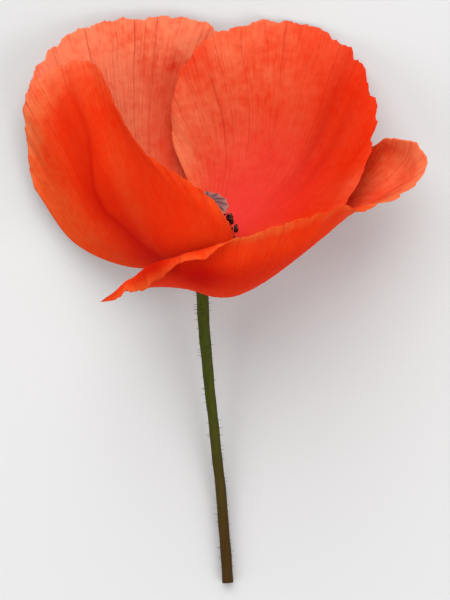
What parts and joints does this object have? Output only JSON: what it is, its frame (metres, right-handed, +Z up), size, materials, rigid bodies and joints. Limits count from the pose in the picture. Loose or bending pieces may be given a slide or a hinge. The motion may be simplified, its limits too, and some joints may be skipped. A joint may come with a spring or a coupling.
{
  "type": "corn poppy flower",
  "caption": "Cut corn poppy in full bloom, four crinkled scarlet petals cupped round a ribbed seed head and dark stamens, on a thin bristly stem, lying down.",
  "frame": {"origin": "on the surface that the flower lies on, under the middle of the whole flower", "axes": "+Z up from that surface, +Y along the flower from the stem's cut end to the head, +X to the right seen from above with the head at the top"},
  "size_m": [0.0816, 0.1162, 0.052],
  "materials": {
    "petal": "thin, matt, finely veined, light shows through",
    "stem": "green to brown, satin, with fine bristles",
    "receptacle": "satin green",
    "ovary": "matt, ribbed, with a waxy bloom",
    "stigma": "velvety rays",
    "stamen": "matt, dusted with pollen"
  },
  "bodies": {
    "root": {"petal_back_left": "petal", "petal_back_right": "petal", "petal_front_left": "petal", "petal_front_right": "petal", "stem": "stem", "receptacle": "receptacle", "ovary": "ovary", "stigma_disc": "stigma", "stamen_01": "stamen", "stamen_02": "stamen", "stamen_03": "stamen", "stamen_04": "stamen", "stamen_05": "stamen", "stamen_06": "stamen", "stamen_07": "stamen", "stamen_08": "stamen", "stamen_09": "stamen", "stamen_10": "stamen", "stamen_11": "stamen", "stamen_12": "stamen", "stamen_13": "stamen", "stamen_14": "stamen", "stamen_15": "stamen", "stamen_16": "stamen", "stamen_17": "stamen", "stamen_18": "stamen", "stamen_19": "stamen", "stamen_20": "stamen", "stamen_21": "stamen", "stamen_22": "stamen", "stamen_23": "stamen", "stamen_24": "stamen", "stamen_25": "stamen", "stamen_26": "stamen", "stamen_27": "stamen", "stamen_28": "stamen", "stamen_29": "stamen", "stamen_30": "stamen", "stamen_31": "stamen", "stamen_32": "stamen", "stamen_33": "stamen", "stamen_34": "stamen", "stamen_35": "stamen", "stamen_36": "stamen"}
  },
  "joints": []
}
